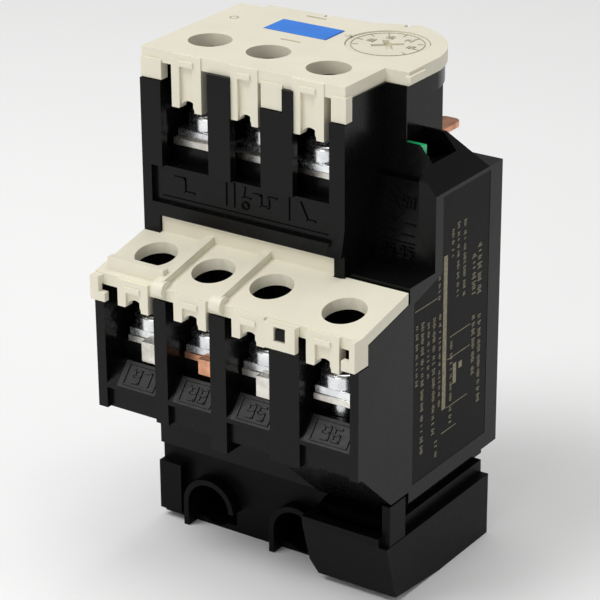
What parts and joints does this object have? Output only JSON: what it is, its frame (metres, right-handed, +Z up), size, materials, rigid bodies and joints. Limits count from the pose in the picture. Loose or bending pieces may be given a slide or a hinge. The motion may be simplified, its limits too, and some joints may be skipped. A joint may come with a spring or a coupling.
{
  "type": "thermal overload relay",
  "caption": "Black moulded thermal overload relay with ivory terminal covers, screw terminals, a setting dial, a reset bar, a trip flag and copper leads to a contactor.",
  "frame": {"origin": "centre of the foot's underside", "axes": "+X to the right seen from the terminal side, +Y towards the contactor, +Z up from the foot to the setting dial"},
  "size_m": [0.045, 0.0532, 0.0756],
  "materials": {
    "housing": "glossy black moulding",
    "foot": "satin black moulding",
    "ivory": "satin ivory moulding",
    "label": "black label with pale gold print",
    "zinc_screw": "bright zinc",
    "zinc_washer": "bright zinc, stamped",
    "copper": "bare copper",
    "tinned": "tinned copper",
    "resistance": "heat-dulled alloy",
    "bimetal": "rolled bimetal",
    "inner_plastic": "natural moulding",
    "spring_steel": "drawn steel",
    "contact_silver": "silver alloy",
    "blue": "satin blue moulding",
    "green": "bright green moulding",
    "dial": "satin ivory moulding"
  },
  "bodies": {
    "base": {"main_case": "housing", "rear_case": "housing", "mounting_foot": "foot", "top_cover": "ivory", "terminal_cover": "ivory", "rating_label": "label", "load_screws": "zinc_screw", "load_washers": "zinc_washer", "control_screws": "zinc_screw", "control_washers": "zinc_washer", "fixed_contacts": "contact_silver", "adjusting_pin": "spring_steel", "trip_lever_pin": "spring_steel", "reset_spring": "spring_steel", "case_screws": "zinc_screw", "load_terminal_1": "copper", "line_lead_1": "copper", "heater_1": "resistance", "load_terminal_2": "copper", "line_lead_2": "copper", "heater_2": "resistance", "load_terminal_3": "copper", "line_lead_3": "copper", "heater_3": "resistance", "control_terminal_1": "tinned", "control_terminal_2": "copper", "control_terminal_3": "tinned", "control_terminal_4": "tinned"},
    "trip_slider": {"trip_slider": "inner_plastic"},
    "differential_slider": {"differential_slider": "inner_plastic"},
    "differential_lever": {"differential_lever": "inner_plastic"},
    "compensating_strip": {"compensating_strip": "bimetal"},
    "adjusting_lever": {"adjusting_lever": "spring_steel", "compensating_pin": "spring_steel"},
    "trip_lever": {"trip_lever": "inner_plastic"},
    "contact_carrier": {"contact_carrier": "inner_plastic", "no_bridge": "copper", "nc_bridge": "copper"},
    "current_dial": {"current_dial": "dial"},
    "reset_bar": {"reset_bar": "blue"},
    "trip_flag": {"trip_flag": "green"},
    "bimetal_1": {"bimetal_1": "bimetal"},
    "bimetal_2": {"bimetal_2": "bimetal"},
    "bimetal_3": {"bimetal_3": "bimetal"}
  },
  "joints": [
    {"name": "trip_slide", "type": "slide", "parent": "base", "child": "trip_slider", "axis": [1, 0, 0], "range_m": [0, 0.0016], "stiffness_N_per_m": 60},
    {"name": "differential_slide", "type": "slide", "parent": "trip_slider", "child": "differential_slider", "axis": [1, 0, 0], "range_m": [-0.0008, 0], "stiffness_N_per_m": 60},
    {"name": "differential_lever_turn", "type": "hinge", "parent": "trip_slider", "child": "differential_lever", "pos_m": [0.0117, 0.0082, 0.0175], "axis": [0, 0, 1], "range_deg": [0, 13.6]},
    {"name": "dial_turn", "type": "hinge", "parent": "base", "child": "current_dial", "pos_m": [0.0064, 0.0104, 0.074], "axis": [0, 0, 1], "range_deg": [-135, 135]},
    {"name": "adjusting_tilt", "type": "hinge", "parent": "base", "child": "adjusting_lever", "pos_m": [0.018, 0.01, 0.055], "axis": [0, 1, 0], "range_deg": [-1.25, 1.25]},
    {"name": "compensating_tilt", "type": "hinge", "parent": "adjusting_lever", "child": "compensating_strip", "pos_m": [0.018, 0.006, 0.036], "axis": [0, 1, 0], "range_deg": [-4.9, 0]},
    {"name": "trip_lever_turn", "type": "hinge", "parent": "base", "child": "trip_lever", "pos_m": [0.0151, 0.005, 0.05], "axis": [0, 1, 0], "range_deg": [0, 8.05]},
    {"name": "carrier_slide", "type": "slide", "parent": "base", "child": "contact_carrier", "axis": [-1, 0, 0], "range_m": [0, 0.00122]},
    {"name": "flag_slide", "type": "slide", "parent": "base", "child": "trip_flag", "axis": [0, 1, 0], "range_m": [0, 0.00252]},
    {"name": "reset_press", "type": "slide", "parent": "base", "child": "reset_bar", "axis": [0, 0, -1], "range_m": [0, 0.0018], "stiffness_N_per_m": 450, "springref_m": -0.003, "deforming": ["reset_spring"]},
    {"name": "bimetal_1_bend", "type": "hinge", "parent": "base", "child": "bimetal_1", "pos_m": [-0.0157, 0.0065, 0.046], "axis": [0, 1, 0], "range_deg": [-3.35, 0]},
    {"name": "bimetal_2_bend", "type": "hinge", "parent": "base", "child": "bimetal_2", "pos_m": [-0.0056, 0.0065, 0.046], "axis": [0, 1, 0], "range_deg": [-3.35, 0]},
    {"name": "bimetal_3_bend", "type": "hinge", "parent": "base", "child": "bimetal_3", "pos_m": [0.0055, 0.0065, 0.046], "axis": [0, 1, 0], "range_deg": [-3.35, 0]}
  ],
  "couplings": [
    {"joint": "bimetal_1_bend", "follows": "trip_slide", "rad_per_m": -35.7},
    {"joint": "bimetal_2_bend", "follows": "trip_slide", "rad_per_m": -35.7},
    {"joint": "bimetal_3_bend", "follows": "trip_slide", "rad_per_m": -35.7},
    {"joint": "differential_lever_turn", "follows": "differential_slide", "rad_per_m": -294.1},
    {"joint": "adjusting_tilt", "follows": "dial_turn", "ratio": 0.00889},
    {"joint": "compensating_tilt", "follows": "trip_slide", "rad_per_m": -52.6},
    {"joint": "trip_lever_turn", "follows": "trip_slide", "rad_per_m": 87.3},
    {"joint": "carrier_slide", "follows": "trip_slide", "ratio": 0.75},
    {"joint": "flag_slide", "follows": "trip_slide", "ratio": 1.5625}
  ]
}
